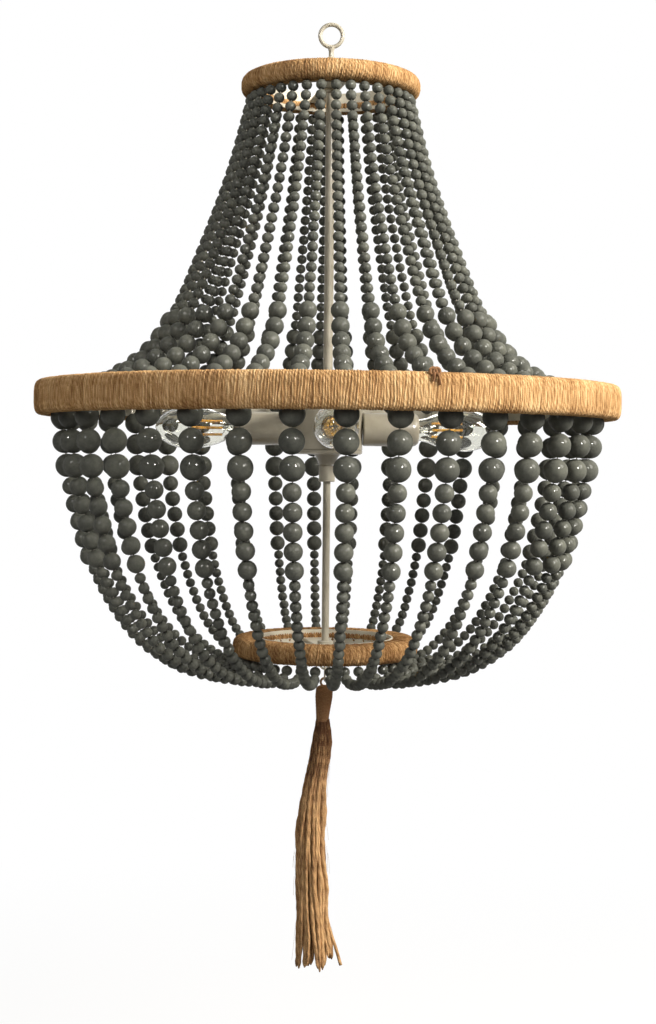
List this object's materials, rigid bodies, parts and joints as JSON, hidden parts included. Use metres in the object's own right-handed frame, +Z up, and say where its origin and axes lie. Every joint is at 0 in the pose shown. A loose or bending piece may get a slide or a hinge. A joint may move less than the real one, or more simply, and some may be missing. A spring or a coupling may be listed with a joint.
{
  "type": "beaded chandelier",
  "caption": "Beaded chandelier on a central stem: jute-wrapped hoops, strands of graded lacquered wooden beads, clear filament bulbs on a hub and a jute tassel below.",
  "frame": {"origin": "the point inside the top of the hanging loop that bears on the hook", "axes": "+Z up along the stem, -Y the front as pictured, +X to the right seen from the front"},
  "size_m": [0.6088, 0.6088, 0.9993],
  "materials": {
    "painted_metal": "satin off-white paint",
    "jute_wrap": "fine jute twine wound close, fuzzy",
    "tassel_yarn": "loose jute yarn",
    "bead_lacquer": "glossy grey lacquer on turned wood",
    "lamp_holder": "satin off-white sleeve",
    "bulb_glass": "clear glass, warm filaments inside"
  },
  "bodies": {
    "frame": {"hanging_loop": "painted_metal", "stem_upper": "painted_metal", "stem_lower": "painted_metal", "stem_coupling": "painted_metal", "top_frame": "painted_metal", "main_frame": "painted_metal", "bottom_frame": "painted_metal", "hub_body": "painted_metal", "hub_cover": "painted_metal", "tassel_eye": "painted_metal", "top_jute_ring": "jute_wrap", "main_jute_ring": "jute_wrap", "bottom_jute_ring": "jute_wrap", "lamp_holder_1": "lamp_holder", "lamp_holder_2": "lamp_holder", "lamp_holder_3": "lamp_holder", "lamp_holder_4": "lamp_holder", "bead_strand_01": "bead_lacquer", "bead_strand_02": "bead_lacquer", "bead_strand_03": "bead_lacquer", "bead_strand_04": "bead_lacquer", "bead_strand_05": "bead_lacquer", "bead_strand_06": "bead_lacquer", "bead_strand_07": "bead_lacquer", "bead_strand_08": "bead_lacquer", "bead_strand_09": "bead_lacquer", "bead_strand_10": "bead_lacquer", "bead_strand_11": "bead_lacquer", "bead_strand_12": "bead_lacquer", "bead_strand_13": "bead_lacquer", "bead_strand_14": "bead_lacquer", "bead_strand_15": "bead_lacquer", "bead_strand_16": "bead_lacquer", "bead_strand_17": "bead_lacquer", "bead_strand_18": "bead_lacquer", "bead_strand_19": "bead_lacquer", "bead_strand_20": "bead_lacquer", "bead_strand_21": "bead_lacquer", "bead_strand_22": "bead_lacquer", "bead_strand_23": "bead_lacquer", "bead_strand_24": "bead_lacquer", "bead_strand_25": "bead_lacquer", "bead_strand_26": "bead_lacquer", "bead_strand_27": "bead_lacquer", "bead_strand_28": "bead_lacquer", "bead_strand_29": "bead_lacquer", "bead_strand_30": "bead_lacquer", "bead_strand_31": "bead_lacquer", "bead_strand_32": "bead_lacquer", "bead_strand_33": "bead_lacquer", "bead_strand_34": "bead_lacquer", "bead_strand_35": "bead_lacquer", "bead_strand_36": "bead_lacquer"},
    "bulb_1_body": {"bulb_1": "bulb_glass"},
    "bulb_2_body": {"bulb_2": "bulb_glass"},
    "bulb_3_body": {"bulb_3": "bulb_glass"},
    "bulb_4_body": {"bulb_4": "bulb_glass"},
    "tassel_link_body": {"tassel_link": "painted_metal"},
    "tassel_body": {"tassel": "tassel_yarn", "tassel_binding": "jute_wrap"}
  },
  "joints": [
    {"name": "bulb_1_unscrew", "type": "slide", "parent": "frame", "child": "bulb_1_body", "axis": [0.061, -0.9981, 0], "range_m": [0, 0.04]},
    {"name": "bulb_2_unscrew", "type": "slide", "parent": "frame", "child": "bulb_2_body", "axis": [0.9981, 0.061, 0], "range_m": [0, 0.04]},
    {"name": "bulb_3_unscrew", "type": "slide", "parent": "frame", "child": "bulb_3_body", "axis": [-0.061, 0.9981, 0], "range_m": [0, 0.04]},
    {"name": "bulb_4_unscrew", "type": "slide", "parent": "frame", "child": "bulb_4_body", "axis": [-0.9981, -0.061, 0], "range_m": [0, 0.04]},
    {"name": "tassel_link_swing", "type": "hinge", "parent": "frame", "child": "tassel_link_body", "pos_m": [0, 0, -0.67565], "axis": [1, 0, 0], "range_deg": [-60, 60]},
    {"name": "tassel_swing", "type": "hinge", "parent": "tassel_link_body", "child": "tassel_body", "pos_m": [0, 0, -0.68815], "axis": [0, 1, 0], "range_deg": [-60, 60]}
  ]
}
